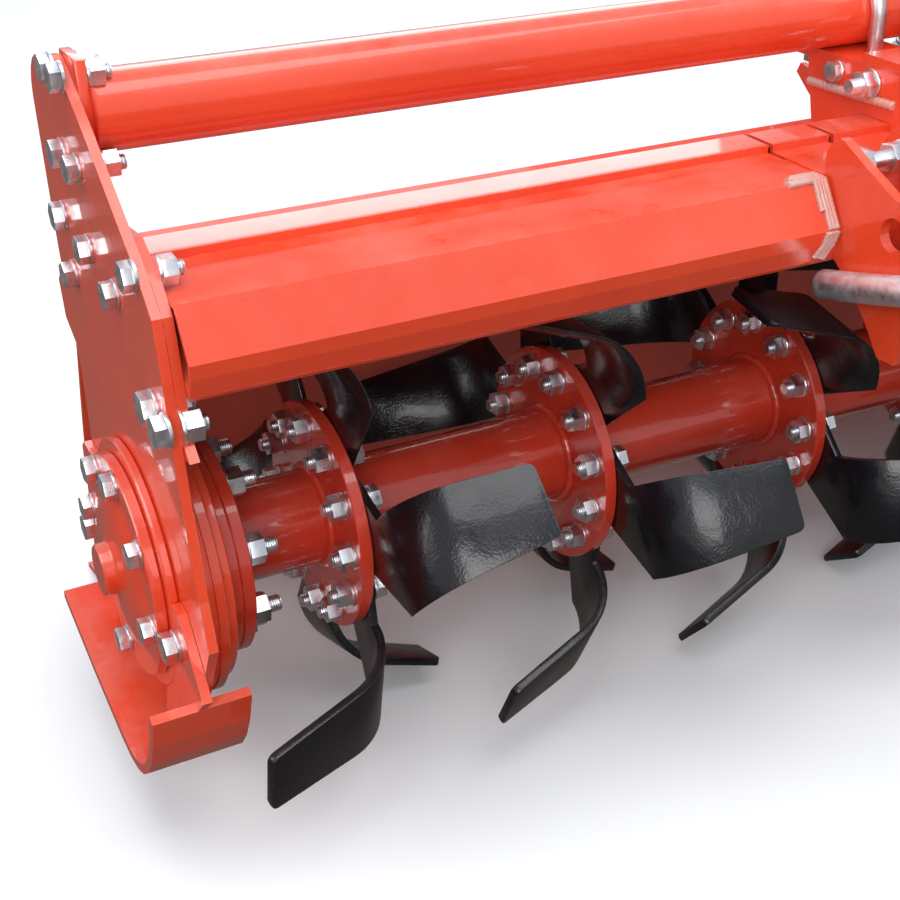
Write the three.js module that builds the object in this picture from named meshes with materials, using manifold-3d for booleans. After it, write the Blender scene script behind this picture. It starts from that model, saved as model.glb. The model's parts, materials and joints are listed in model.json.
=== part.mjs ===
// A rotavator: a tractor-carried rotary tiller with 48 blades on eight flanges, driven through a centre
// gearbox and a gear case at one end. Millimetres, +Z up, +X along the rotor, -Y towards the tractor.
// Every piece is laid out from the rotor's axis, and the whole is then set down with the ground at Z 0.
import * as THREE from "three";
import { mergeVertices } from "three/addons/utils/BufferGeometryUtils.js";
import Module from "manifold-3d";

const wasm = await Module();
wasm.setup();

// Driving dimensions

const gap = 0.3; // between pieces that touch
const play = 0.5; // round a shaft in its bore
const run = 1; // beside a turning flange

const flangeCount = 8;
const flangePitch = 250;
const flangeRadius = 107;
const flangeThickness = 12;
const sideRoom = 154; // from the end flanges to the side plates
const rotorRadius = 44.5;
const rotorWall = 9;
const stubRadius = 30;
const stubFlangeRadius = 100;
const stubFlangeThickness = 11;
const stubStandOff = 49; // from the side plate to the rotor's end flange

const tipRadius = 243;
const bladeThickness = 8;
const bladeWidth = 66; // at the tip
const bladeBendWidth = 88; // where the bend starts
const bladeStemWidth = 82; // at the root
const bladeBend = 70; // radius of the bend
const bladeTurn = 71; // degrees from the stem to the leg
const bladeLean = 25.5; // the bend's slant over the stem, in degrees
const bladeReach = { left: 138, right: 110 }; // along the rotor, from the flange
const bladeGrind = 12; // width of the sharpened edge
const bladeEdge = 1.5;
const bladesPerFlange = 6;
const firstBladeAngle = 156;
const phaseStep = 15; // each flange is turned this much on from the one before

const plateThickness = 8;
const hoodClearance = 15; // from the blade tips to the hood
const sheet = 4;
const sealRadius = 127;
const housingRadius = 112;
const housingThickness = 8;
const coverRadius = 100;
const coverThickness = 10;

const tube = { y: 78, z: 375, radius: 33, wall: 6 };
const tubeFlange = { width: 66, height: 94, thickness: 9 };

const skidWidth = 84;
const skidThickness = 9;
const skidUpright = 8;

const lugOuter = 416; // from the middle to the outer plate of each hitch lug
const lugInner = 349;
const lugThickness = 10;
const lugHole = { y: -211, z: 263, radius: 15 };
const bracketOuter = 270; // from the middle to the outer plate of each mast bracket
const bracketInner = 200;
const bracketThickness = 10;
const uBoltRadius = 8;
const mastHead = { y: -165, z: 815, radius: 12.5, gap: 54, thickness: 10 };
const hoopRadius = 14;

const gearbox = { half: 95, front: -14, back: 146, bottom: 284, top: 470 };
const shaftRadius = 17.5;
const sideCase = { thickness: 72, lower: 118, upper: 92, cover: 12 };

const rail = { angle: 42, size: 40, wall: 4 };
const hinge = { y: 240, z: 118, radius: 9 };
const boardSheet = 5;
const boardSwing = { eyeY: 345, eyeZ: -20 };
const rodGuide = { y: 290, z: 235 };
const rodOffset = 60; // from the middle to each spring rod
const rodRadius = 8;
const springRadius = 20;
const springLength = 74;
const springLift = 14; // the washer's height over its guide's pins when the board is down

// Worked out from them

const rad = THREE.MathUtils.degToRad;
const firstFlange = (-(flangeCount - 1) * flangePitch) / 2;
const plateInner = -firstFlange + sideRoom;
const plateOuter = plateInner + plateThickness;
const rotorEnd = plateInner - stubStandOff;
const hoodEnd = plateInner - gap - plateThickness;
const hoodRadius = tipRadius + hoodClearance;
const hoodSkin = hoodRadius + sheet;
const tubeBottom = tube.z - tube.radius;

// Materials

const painted = (color, roughness) => () =>
  new THREE.MeshStandardMaterial({ color, roughness, metalness: 0.1 });
const metal = (color, roughness) => () =>
  new THREE.MeshStandardMaterial({ color, roughness, metalness: 0.9 });
const redPaint = painted(0xd8452f, 0.32);
const rotorPaint = painted(0xb5301f, 0.32);
const blackPaint = painted(0x15151a, 0.25);
const zincPlate = metal(0xb9bdc2, 0.35);
const bareSteel = metal(0x8b8d90, 0.4);

// Solids

// A closed geometry as a manifold-3d solid, its faces turned outwards.
function solid(geometry) {
  const bare = new THREE.BufferGeometry();
  bare.setAttribute("position", geometry.getAttribute("position"));
  if (geometry.index) bare.setIndex(geometry.index);
  const merged = mergeVertices(bare, 1e-3);
  const corners = [...merged.index.array];
  const triangles = [];
  for (let i = 0; i < corners.length; i += 3) {
    const [a, b, c] = corners.slice(i, i + 3);
    if (a !== b && b !== c && c !== a) triangles.push(a, b, c);
  }
  const vertProperties = merged.getAttribute("position").array;
  const build = (order) =>
    new wasm.Manifold(new wasm.Mesh({ numProp: 3, vertProperties, triVerts: new Uint32Array(order) }));
  const made = build(triangles);
  return made.volume() > 0 ? made : build(triangles.reverse());
}

const join = (first, ...rest) => rest.reduce((sum, piece) => sum.add(piece), first);
const cut = (body, ...tools) => tools.reduce((left, tool) => left.subtract(tool), body);

function piece(name, body, material) {
  const { vertProperties, triVerts, numProp } = body.getMesh();
  const count = vertProperties.length / numProp;
  const places = new Float32Array(count * 3);
  for (let i = 0; i < count; i++)
    places.set(vertProperties.subarray(i * numProp, i * numProp + 3), i * 3);
  const geometry = new THREE.BufferGeometry();
  geometry.setAttribute("position", new THREE.BufferAttribute(places, 3));
  geometry.setIndex(new THREE.BufferAttribute(new Uint32Array(triVerts), 1));
  geometry.computeVertexNormals();
  const mesh = new THREE.Mesh(geometry, material());
  mesh.name = name;
  return mesh;
}

// The turns that lay a shape drawn in XY, or a lathe's Y axis, along the rotor or along the travel.
const basis = (x, y, z) =>
  new THREE.Matrix4().makeBasis(new THREE.Vector3(...x), new THREE.Vector3(...y), new THREE.Vector3(...z));
const shapeAlongX = basis([0, 1, 0], [0, 0, 1], [1, 0, 0]);
const shapeAlongY = basis([-1, 0, 0], [0, 0, 1], [0, 1, 0]);
const latheAlongX = basis([0, 1, 0], [1, 0, 0], [0, 0, -1]);

// Points on a circle, from one angle to another in degrees, both ends included.
function arc({ y, z }, radius, from, to, steps) {
  return Array.from({ length: steps + 1 }, (_, i) => {
    const a = rad(from + ((to - from) * i) / steps);
    return [y + radius * Math.cos(a), z + radius * Math.sin(a)];
  });
}
const axis = { y: 0, z: 0 };

const shapeOf = (outline) => new THREE.Shape(outline.map(([u, v]) => new THREE.Vector2(u, v)));

// A plate square to the rotor: its outline is a list of [y, z] and it lies from x0 to x1.
function plate(outline, x0, x1, holes = []) {
  const shape = shapeOf(outline);
  for (const hole of holes) {
    const round = arc(hole, hole.radius, 0, 360, 24).slice(0, -1);
    shape.holes.push(new THREE.Path(round.map(([y, z]) => new THREE.Vector2(y, z))));
  }
  const geometry = new THREE.ExtrudeGeometry(shape, { depth: x1 - x0, bevelEnabled: false });
  return solid(geometry.applyMatrix4(shapeAlongX).translate(x0, 0, 0));
}

// A plate that faces the tractor: its outline is a list of [x, z] and it lies from y0 to y1.
function wall(outline, y0, y1) {
  const shape = shapeOf(outline.map(([x, z]) => [-x, z]));
  const geometry = new THREE.ExtrudeGeometry(shape, { depth: y1 - y0, bevelEnabled: false });
  return solid(geometry.applyMatrix4(shapeAlongY).translate(0, y0, 0));
}

const block = (x0, x1, y0, y1, z0, z1) => plate([[y0, z0], [y1, z0], [y1, z1], [y0, z1]], x0, x1);

// A body turned about a line along X through a centre: its profile is a list of [radius, x].
function turned(profile, centre = axis, segments = 32) {
  const geometry = new THREE.LatheGeometry(
    profile.map(([radius, x]) => new THREE.Vector2(radius, x)),
    segments,
  );
  return solid(geometry.applyMatrix4(latheAlongX).translate(0, centre.y, centre.z));
}

const disc = (radius, x0, x1, centre, segments) =>
  turned([[0, x0], [radius, x0], [radius, x1], [0, x1]], centre, segments);
const pipe = (outer, inner, x0, x1, centre, segments) =>
  turned([[inner, x0], [outer, x0], [outer, x1], [inner, x1], [inner, x0]], centre, segments);

// The same along Y, at x 0 and a height.
function turnedAlongY(profile, z, segments = 24) {
  const geometry = new THREE.LatheGeometry(
    profile.map(([radius, y]) => new THREE.Vector2(radius, y)),
    segments,
  );
  return solid(geometry.translate(0, 0, z));
}

// The line of a folded sheet as a closed outline, its thickness laid on the left of the line.
function folded(line, thickness) {
  const step = (i) => {
    const [y, z] = line[Math.min(i + 1, line.length - 1)];
    const [py, pz] = line[Math.max(i, 0)];
    return new THREE.Vector2(y - py, z - pz).normalize();
  };
  const side = line.map(([y, z], i) => {
    const before = step(i ? i - 1 : 0);
    const after = step(i === line.length - 1 ? i - 1 : i);
    const across = new THREE.Vector2(-(before.y + after.y), before.x + after.x).normalize();
    const reach = thickness / across.dot(new THREE.Vector2(-after.y, after.x));
    return [y + across.x * reach, z + across.y * reach];
  });
  return [...line, ...side.reverse()];
}

// A round bar between two points.
function rod(from, to, radius, segments = 12) {
  const start = new THREE.Vector3(...from);
  const along = new THREE.Vector3(...to).sub(start);
  const geometry = new THREE.CylinderGeometry(radius, radius, along.length(), segments);
  geometry.translate(0, along.length() / 2, 0);
  const up = new THREE.Vector3(0, 1, 0);
  geometry.applyQuaternion(new THREE.Quaternion().setFromUnitVectors(up, along.normalize()));
  return solid(geometry.translate(...from));
}

// A flat bar between two points, its width lying towards a direction.
function bar(from, to, width, thickness, wide) {
  const start = new THREE.Vector3(...from);
  const along = new THREE.Vector3(...to).sub(start);
  const geometry = new THREE.BoxGeometry(width, thickness, along.length());
  geometry.translate(0, 0, along.length() / 2);
  const up = along.normalize();
  const flat = new THREE.Vector3(...wide);
  flat.addScaledVector(up, -up.dot(flat)).normalize();
  const frame = new THREE.Matrix4().makeBasis(flat, new THREE.Vector3().crossVectors(up, flat), up);
  return solid(geometry.applyMatrix4(frame.setPosition(start)));
}

// A round bar bent along a line.
function bent(line, radius, steps, sides = 10) {
  const section = shapeOf(arc(axis, radius, 0, 360, sides).slice(0, -1));
  return solid(new THREE.ExtrudeGeometry(section, { steps, extrudePath: line, bevelEnabled: false }));
}

// Rings of points with the same count, joined in turn and closed at both ends.
function loft(rings) {
  const sides = rings[0].length;
  const index = [];
  for (let ring = 0; ring < rings.length - 1; ring++)
    for (let i = 0; i < sides; i++) {
      const a = ring * sides + i;
      const b = ring * sides + ((i + 1) % sides);
      index.push(a, b, b + sides, a, b + sides, a + sides);
    }
  const last = (rings.length - 1) * sides;
  for (let i = 1; i < sides - 1; i++) index.push(0, i + 1, i, last, last + i, last + i + 1);
  const geometry = new THREE.BufferGeometry();
  geometry.setAttribute("position", new THREE.Float32BufferAttribute(rings.flat(2), 3));
  geometry.setIndex(index);
  return solid(geometry);
}

// A piece at each end: side is -1 at the driver's right and 1 at the driver's left.
const sides = { left: -1, right: 1 };
const bothEnds = (build) => Object.entries(sides).map(([end, side]) => build(end, side));
const span = (side, near, far) => (side < 0 ? [-far, -near] : [near, far]);

// Rotor

// One blade: a flat stem on the flange, bent about a slanting line into a leg that runs along the rotor.
// A station holds its place as x, outwards and forwards, its half width and the way its width lies.
function blade(face, angle, side) {
  const half = bladeThickness / 2;
  const lean = rad(bladeLean);
  const turn = rad(bladeTurn);
  const wide = { out: Math.sin(lean), on: Math.cos(lean) };
  const stem = { out: Math.cos(lean), on: -Math.sin(lean) };
  const reach = side < 0 ? bladeReach.left : bladeReach.right;
  const bendReach = bladeBend * (1 - Math.cos(turn));
  const height = bladeBend * Math.sin(turn) + (reach - bendReach) / Math.tan(turn);
  const tipOut = Math.sqrt(tipRadius ** 2 - (wide.on * bladeWidth) ** 2 / 4) - half * stem.out;
  const start = {
    out: tipOut - (bladeWidth / 2) * wide.out - height * stem.out,
    on: -height * stem.on,
  };
  const width = (x) => bladeBendWidth + ((bladeWidth - bladeBendWidth) * x) / reach;
  const root = { x: 0, out: boltedRadius, on: 0, wide: { out: 0, on: 1 }, half: bladeStemWidth / 2 };
  const stations = [{ ...root, normal: 0 }];
  const add = (x, along, normal) =>
    stations.push({
      x,
      out: start.out + along * stem.out,
      on: start.on + along * stem.on,
      wide,
      half: width(x) / 2,
      normal,
    });
  for (let i = 0; i <= bendSteps; i++) {
    const a = (turn * i) / bendSteps;
    add(bladeBend * (1 - Math.cos(a)), bladeBend * Math.sin(a), a);
  }
  add(reach, height, turn);
  const tilt = rad(angle);
  const rings = stations.map((s) => {
    const at = (along, off) => {
      const out = s.out + s.wide.out * along - Math.sin(s.normal) * stem.out * off;
      const on = s.on + s.wide.on * along - Math.sin(s.normal) * stem.on * off;
      return [
        face + half + side * (s.x + Math.cos(s.normal) * off),
        out * Math.cos(tilt) - on * Math.sin(tilt),
        out * Math.sin(tilt) + on * Math.cos(tilt),
      ];
    };
    const ground = s.half - bladeGrind;
    return [
      at(-s.half, -half),
      at(s.half, -half),
      at(s.half, bladeEdge - half),
      at(ground, half),
      at(-s.half, half),
    ];
  });
  return loft(rings);
}
const bendSteps = 5;
const boltedRadius = 72; // where a blade's root starts

function bladeFlange(number) {
  const x = firstFlange + number * flangePitch;
  const ring = pipe(flangeRadius, rotorRadius + gap, x, x + flangeThickness, axis, 36);
  const blades = Array.from({ length: bladesPerFlange }, (_, i) => {
    const angle = firstBladeAngle + phaseStep * number + (360 / bladesPerFlange) * i;
    return blade(x + flangeThickness, angle, i % 2 ? -1 : 1);
  });
  return piece(`blade_flange_${number + 1}`, join(ring, ...blades), blackPaint);
}

function rotorTube() {
  const bore = rotorRadius - rotorWall;
  const flange = rotorEnd - stubFlangeThickness;
  const half = [
    [rotorRadius, flange],
    [stubFlangeRadius, flange],
    [stubFlangeRadius, rotorEnd],
    [bore, rotorEnd],
  ];
  const mirror = half.map(([radius, x]) => [radius, -x]).reverse();
  return piece("rotor_tube", turned([...mirror, ...half, mirror[0]], axis, 36), rotorPaint);
}

// The stub shaft that carries one end of the rotor, from its flange out into the bearing.
function rotorStub(end, side) {
  const inner = side * (rotorEnd + gap);
  const outer = inner + side * stubFlangeThickness;
  const tip = side * (plateOuter + housingThickness - 2);
  const profile = [
    [0, inner],
    [stubFlangeRadius, inner],
    [stubFlangeRadius, outer],
    [stubRadius, outer],
    [stubRadius, tip],
    [0, tip],
  ];
  return piece(`rotor_stub_${end}`, turned(profile), rotorPaint);
}

const rotor = new THREE.Group();
rotor.add(rotorTube(), ...bothEnds(rotorStub));
for (let number = 0; number < flangeCount; number++) rotor.add(bladeFlange(number));
const ground = new THREE.Box3().setFromObject(rotor).min.z;

// Side plates, hood and deck

const frontEdge = [[-180, 18], [-167, 57], [-151, 122], [-138, 186], [-131, 230], [-121, 277], [-98, 299]];

function sidePlate(end, side) {
  const outline = [
    ...frontEdge,
    [18, 376],
    ...arc({ y: tube.y + 20, z: tube.z + 10 }, 34, 125, 95, 2),
    ...arc({ y: tube.y + 68, z: tube.z - 10 }, 42, 75, 0, 4),
    [174, 234],
    [150, 122],
    [146, 0],
    [128, -92],
    [60, -122],
    [-98, -115],
    [-138, -62],
  ].reverse();
  const bearing = { ...axis, radius: stubRadius + 12 };
  const [x0, x1] = span(side, plateInner, plateOuter);
  return piece(`side_plate_${end}`, plate(outline, x0, x1, [bearing]), redPaint);
}

function hoodEndPlate(end, side) {
  const outline = [
    [-153, 172],
    ...frontEdge.slice(3, 6),
    [-100, 297],
    [-60, 318],
    [20, 308],
    [100, 284],
    [165, 240],
    [236, 176],
    [228, 140],
    ...arc(axis, hoodRadius - 45, 33, 128, 12),
  ].reverse();
  const [x0, x1] = span(side, hoodEnd, plateInner - gap);
  return piece(`hood_end_plate_${end}`, plate(outline, x0, x1), redPaint);
}

const knuckle = { width: 12, radius: 16 };
const knuckleEvery = 335;
const knucklePlaces = [-3, -2, -1, 0, 1, 2, 3].map((i) => i * knuckleEvery);

function hoodShell() {
  const shell = plate(folded(arc(axis, hoodSkin, 123, 31, 16), -sheet), gap - hoodEnd, hoodEnd - gap);
  const ears = knucklePlaces.map((x) => {
    const outline = [
      ...arc(axis, hoodSkin - sheet / 2, 36, 31, 2),
      ...arc(hinge, knuckle.radius, 230, 390, 6),
      [240, 146],
    ];
    const bore = { ...hinge, radius: hinge.radius + gap };
    return plate(outline.reverse(), x - knuckle.width / 2, x + knuckle.width / 2, [bore]);
  });
  return piece("hood_shell", join(shell, ...ears), redPaint);
}

const deck = { top: 287, ridge: 294, ridgeFront: -40, back: -1 };
const deckLine = [
  [-141, 214],
  [-147, 236],
  [-148, 248],
  [-124, deck.top],
  [deck.ridgeFront, deck.top],
  [deck.ridgeFront, deck.ridge],
  [deck.back, deck.ridge],
  [deck.back, 250],
];
const underHood = (x0, x1) => disc(hoodSkin + gap, x0 - 1, x1 + 1, axis, 72);
const deckSection = (x0, x1) => cut(plate(folded(deckLine, -sheet), x0, x1), underHood(x0, x1));

const deckEnd = lugOuter + lugThickness / 2 + gap;
const deckMiddle = lugInner - lugThickness / 2 - gap;
const deckBeam = (name, x0, x1) => piece(name, deckSection(x0, x1), redPaint);
const deckBeams = [
  deckBeam("deck_beam_left", gap - hoodEnd, -deckEnd),
  deckBeam("deck_beam_middle", -deckMiddle, deckMiddle),
  deckBeam("deck_beam_right", deckEnd, hoodEnd - gap),
];

// The rail along the back of the hood, with the guides of the spring rods.
function rearRail() {
  const square = (grow) => {
    const near = hoodSkin + gap - grow;
    const far = near + rail.size + 2 * grow;
    const half = rail.size / 2 + grow;
    return [[near, -half], [far, -half], [far, half], [near, half]].map(([out, on]) => {
      const a = rad(rail.angle);
      return [out * Math.cos(a) - on * Math.sin(a), out * Math.sin(a) + on * Math.cos(a)];
    });
  };
  const length = hoodEnd - gap;
  const beam = cut(
    plate(square(0), -length, length),
    plate(square(-rail.wall), -length - 1, length + 1),
  );
  const inside = plate(square(-rail.wall / 2), -length, length);
  const guides = bothEnds((_, side) => guide(side * rodOffset));
  return piece("rear_rail", join(beam, ...guides.map((part) => cut(part, inside))), redPaint);
}

// A fork for one spring rod: two cheeks and two cross pins, the rod passing between the pins.
const guideRoom = 14; // from the rod's axis to each cheek
const guidePin = { radius: 5, offset: 25 };
function guide(x) {
  const outline = [
    [rodGuide.y - 98, rodGuide.z - 20],
    [rodGuide.y - 60, rodGuide.z - 62],
    [rodGuide.y + 10, rodGuide.z - 18],
    [rodGuide.y + 36, rodGuide.z + 2],
    [rodGuide.y + 30, rodGuide.z + 14],
    [rodGuide.y - 34, rodGuide.z + 1],
  ];
  const cheeks = [-1, 1].map((s) => {
    const [x0, x1] = span(s, guideRoom, guideRoom + 8);
    return plate(outline, x + x0, x + x1);
  });
  const pins = [-1, 1].map((s) => {
    const centre = {
      y: rodGuide.y + s * guidePin.offset * Math.sin(rodAngle),
      z: rodGuide.z - s * guidePin.offset * Math.cos(rodAngle),
    };
    return disc(guidePin.radius, x - guideRoom - 8, x + guideRoom + 8, centre, 12);
  });
  return join(...cheeks, ...pins);
}
const rodAngle = Math.atan2(rodGuide.z - boardSwing.eyeZ, rodGuide.y - boardSwing.eyeY);

const hingeRod = piece(
  "hinge_rod",
  disc(hinge.radius, gap - hoodEnd, hoodEnd - gap, hinge, 16),
  zincPlate,
);

// Main tubes, bearings and gear case

function mainTube(end, side) {
  const foot = plateInner - gap;
  const [x0, x1] = span(side, gearbox.half + gap, foot);
  const body = pipe(tube.radius, tube.radius - tube.wall, x0, x1, tube, 28);
  const [f0, f1] = span(side, foot - tubeFlange.thickness, foot);
  const { width, height } = tubeFlange;
  const outline = [
    [-width / 2, -height / 2],
    [width / 2, -height / 2],
    [width * 0.36, height / 2],
    [-width * 0.36, height / 2],
  ];
  const outer = plate(outline.map(([y, z]) => [tube.y + y, tube.z + z]), f0, f1);
  const [g0, g1] = span(side, gearbox.half + gap, gearbox.half + gap + 14);
  const inner = disc(tube.radius + 32, g0, g1, tube, 28);
  const bore = disc(tube.radius - tube.wall, x0 - 1, x1 + 1, tube, 28);
  return piece(`main_tube_${end}`, cut(join(body, outer, inner), bore), redPaint);
}

function bearingSeal(end, side) {
  const far = side * (plateInner - gap);
  const near = side * (rotorEnd + gap + stubFlangeThickness + run);
  const bore = stubRadius + play;
  return piece(`bearing_seal_${end}`, pipe(sealRadius, bore, far, near), redPaint);
}

const housing = { near: plateOuter + gap, far: plateOuter + gap + housingThickness };
const bearingHousing = piece(
  "bearing_housing_left",
  pipe(housingRadius, stubRadius + play, -housing.far, -housing.near),
  redPaint,
);

function bearingCover() {
  const near = housing.far + gap;
  const profile = [[100, 0], [100, 1], [78, 1], [62, 1.6], [36, 1.9], [24, 2], [24, 3.1], [0, 3.1]];
  const outside = profile.map(([share, depth]) => [
    (coverRadius * share) / 100,
    near + coverThickness * depth,
  ]);
  const inside = [[0, near + 10], [coverRadius * 0.5, near + 8], [coverRadius * 0.66, near]];
  const points = [...outside, ...inside, outside[0]].map(([radius, x]) => [radius, -x]);
  return piece("bearing_cover_left", turned(points), redPaint);
}

// The outline round the drive's two centres: the main tube's and the rotor's.
function caseOutline(grow) {
  const span2 = Math.hypot(tube.y, tube.z);
  const lean = (Math.atan2(tube.z, tube.y) * 180) / Math.PI;
  const open = (Math.acos((sideCase.lower - sideCase.upper) / span2) * 180) / Math.PI;
  return [
    ...arc(axis, sideCase.lower + grow, lean + open, lean + 360 - open, 16),
    ...arc(tube, sideCase.upper + grow, lean - open, lean + open, 12),
  ];
}

function sideGearCase() {
  const near = plateOuter + gap;
  const body = plate(caseOutline(0), near, near + sideCase.thickness);
  const bore = disc(stubRadius + play, near - 1, near + housingThickness + 4);
  return piece("side_gear_case", cut(body, bore), redPaint);
}

function sideCaseCover() {
  const near = plateOuter + 2 * gap + sideCase.thickness;
  const far = near + sideCase.cover;
  const body = join(
    plate(caseOutline(8), near, far),
    disc(56, near, far + 14),
    disc(46, near, far + 14, tube),
  );
  return piece("side_case_cover", body, redPaint);
}

// Skids

function skid(end, side) {
  const [x0, x1] = [-1, 1].map((s) => side * (plateOuter + skidUpright / 2) + (s * skidWidth) / 2);
  const nose = new THREE.QuadraticBezierCurve(
    new THREE.Vector2(-30, -162),
    new THREE.Vector2(-126, -176),
    new THREE.Vector2(-160, -50),
  );
  const line = [[160, -126], [60, -148], ...nose.getPoints(7).map(({ x, y }) => [x, y])];
  const plank = plate(folded(line, -skidThickness), x0, x1);
  const [u0, u1] = span(side, plateOuter + gap, plateOuter + gap + skidUpright);
  const frontUpright = [
    [-114, 26],
    [-130, 26],
    [-178, -30],
    [-158, -52],
    [-112, -136],
    [-42, -158],
    [-66, -90],
    [-90, -70],
  ];
  const backUpright = [[98, 40], [106, 48], [146, 48], [154, 40], [164, -126], [104, -139]];
  const front = plate(frontUpright, u0, u1);
  const back = plate(backUpright, u0, u1);
  const clear =
    side < 0
      ? disc(housingRadius + gap, u0 - 1, u1 + 1, axis, 48)
      : plate(caseOutline(gap), u0 - 1, u1 + 1);
  return piece(`skid_${end}`, join(plank, cut(front, clear), cut(back, clear)), redPaint);
}

// Hitch

function hitchLug(end, side) {
  const outline = [
    [-60, deck.top - 2],
    [-118, deck.top - 2],
    [-118, 312],
    ...arc({ y: -134, z: 313 }, 13, 60, 110, 2),
    [-166, 312],
    ...arc(lugHole, 31, 84, 180, 5),
    [-245, 190],
    [-236, 152],
    [-205, 150],
    [-150, 190],
    [-60, 240],
  ];
  const [far, near] = [lugOuter, lugInner].map((middle) => {
    const [x0, x1] = span(side, middle - lugThickness / 2, middle + lugThickness / 2);
    return cut(plate(outline, x0, x1, [lugHole]), underHood(x0, x1));
  });
  const [x0, x1] = span(side, lugInner, lugOuter);
  return piece(`hitch_lug_${end}`, join(far, near, deckSection(x0, x1)), redPaint);
}

const saddleTop = tubeBottom - gap;
const saddle = saddleTop - bracketThickness;
const uBoltLeg = tube.radius + uBoltRadius + gap;

function mastBracket(end, side) {
  const outline = [
    [88, saddle + 1],
    [-78, saddle + 1],
    [-78, deck.top + gap],
    [deck.ridgeFront - gap, deck.top + gap],
    [deck.ridgeFront - gap, deck.ridge + gap],
    [deck.back + gap, deck.ridge + gap],
    [deck.back + gap, 240],
    [64, 240],
  ];
  const cheeks = [bracketOuter, bracketInner].map((middle) => {
    const [x0, x1] = span(side, middle - bracketThickness / 2, middle + bracketThickness / 2);
    return cut(plate(outline, x0, x1), underHood(x0, x1));
  });
  const [x0, x1] = span(side, bracketInner - bracketThickness / 2, bracketOuter + bracketThickness / 2);
  const top = block(x0, x1, -78, 136, saddle, saddleTop);
  const holes = [-1, 1].map((s) => {
    const at = (z) => [uBoltX(side), tube.y + s * uBoltLeg, z];
    return rod(at(saddle - 5), at(saddleTop + 5), uBoltRadius + play, 16);
  });
  return piece(`mast_bracket_${end}`, cut(join(...cheeks, top), ...holes), redPaint);
}
const uBoltX = (side) => (side * (bracketOuter + bracketInner)) / 2;

function uBolt(end, side) {
  const x = uBoltX(side);
  const curve = new THREE.CurvePath();
  const foot = saddle - 30;
  const at = (y, z) => new THREE.Vector3(x, y, z);
  const crown = arc(tube, uBoltLeg, 180, 0, 16).map(([y, z]) => at(y, z));
  const stations = [at(tube.y - uBoltLeg, foot), ...crown, at(tube.y + uBoltLeg, foot)];
  for (let i = 1; i < stations.length; i++) curve.add(new THREE.LineCurve3(stations[i - 1], stations[i]));
  const line = new THREE.CatmullRomCurve3(stations, false, "centripetal");
  const bolt = bent(line, uBoltRadius, 40, 10);
  const nuts = [-1, 1].map((s) => {
    const y = tube.y + s * uBoltLeg;
    return rod([x, y, saddle - gap - 14], [x, y, saddle - gap], 13, 6);
  });
  return piece(`u_bolt_${end}`, join(bolt, ...nuts), zincPlate);
}

// The A-shaped mast: two legs from the brackets to the head that takes the top link.
function mast() {
  const parts = bothEnds((_, side) => {
    const [f0, f1] = span(side, bracketInner - bracketThickness / 2, bracketOuter + bracketThickness / 2);
    const foot = block(f0, f1, -78, 8, saddleTop + gap, saddleTop + gap + 10);
    const inner = mastHead.gap / 2;
    const top = [side * (inner + 12), mastHead.y + 5, mastHead.z - 5];
    const leg = bar([uBoltX(side), -38, saddleTop + 12], top, 62, 12, [0, 1, 0]);
    const [h0, h1] = span(side, inner, inner + mastHead.thickness);
    const cheek = plate(
      [[-200, 752], [-96, 752], [-62, 776], [-62, 806], [-104, 849], ...arc(mastHead, 34, 80, 190, 5)],
      h0,
      h1,
      [{ ...mastHead, radius: mastHead.radius + gap }],
    );
    return join(foot, cut(leg, block(-inner, inner, -400, 200, 0, 1200)), cheek);
  });
  const spacer = block(-mastHead.gap / 2 - 2, mastHead.gap / 2 + 2, -196, -128, 752, 762);
  const pinRoom = disc(mastHead.radius + gap, -100, 100, mastHead, 24);
  return piece("mast", cut(join(...parts, spacer), pinRoom), redPaint);
}

const topLinkPin = piece(
  "top_link_pin",
  join(
    disc(mastHead.radius, -64, 64, mastHead, 20),
    disc(mastHead.radius + 7, -72, -64, mastHead, 20),
  ),
  zincPlate,
);

function mastBrace(end, side) {
  const inner = mastHead.gap / 2 + mastHead.thickness + gap;
  const from = [side * (inner + 3), -84, 792];
  const to = [side * braceFoot, tube.y + 8, tube.z + 22];
  const flat = bar(from, to, 50, 10, [0, 1, 0.6]);
  const [h0, h1] = span(side, 0, inner);
  const seat = disc(tube.radius + gap, side * braceFoot - 40, side * braceFoot + 40, tube, 28);
  const body = cut(flat, block(h0, h1, -300, 300, 0, 1200), seat);
  return piece(`mast_brace_${end}`, body, redPaint);
}

const braceFoot = 130; // from the middle to each brace's seat on the main tube

function guardHoop() {
  const beside = lugOuter + lugThickness / 2 + gap + hoopRadius;
  const half = [
    [beside, -152, 200],
    [beside, -200, 214],
    [beside, -262, 234],
    [beside - 18, -300, 246],
    [beside - 62, -316, 250],
    [150, -316, 250],
  ];
  const mirror = half.map(([x, y, z]) => [-x, y, z]);
  const points = [...mirror, ...half.reverse()].map((p) => new THREE.Vector3(...p));
  const curve = new THREE.CatmullRomCurve3(points, false, "centripetal");
  return piece("guard_hoop", bent(curve, hoopRadius, 56, 10), zincPlate);
}

// Gearbox and input shaft

function gearboxBody() {
  const { front, back, bottom, top, half } = gearbox;
  const outline = [
    [front + 26, bottom],
    [back - 26, bottom],
    [back, bottom + 30],
    [back, top - 34],
    [back - 40, top],
    [front + 40, top],
    [front, top - 34],
    [front, bottom + 30],
  ];
  const body = plate(outline, -half, half);
  const bore = shaftRadius + play;
  const profile = [[0, front + 30], [bore, front + 30], [bore, front - 1], [0, front - 1]];
  const pocket = turnedAlongY(profile, tube.z);
  return piece("gearbox", cut(body, pocket), redPaint);
}

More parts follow.
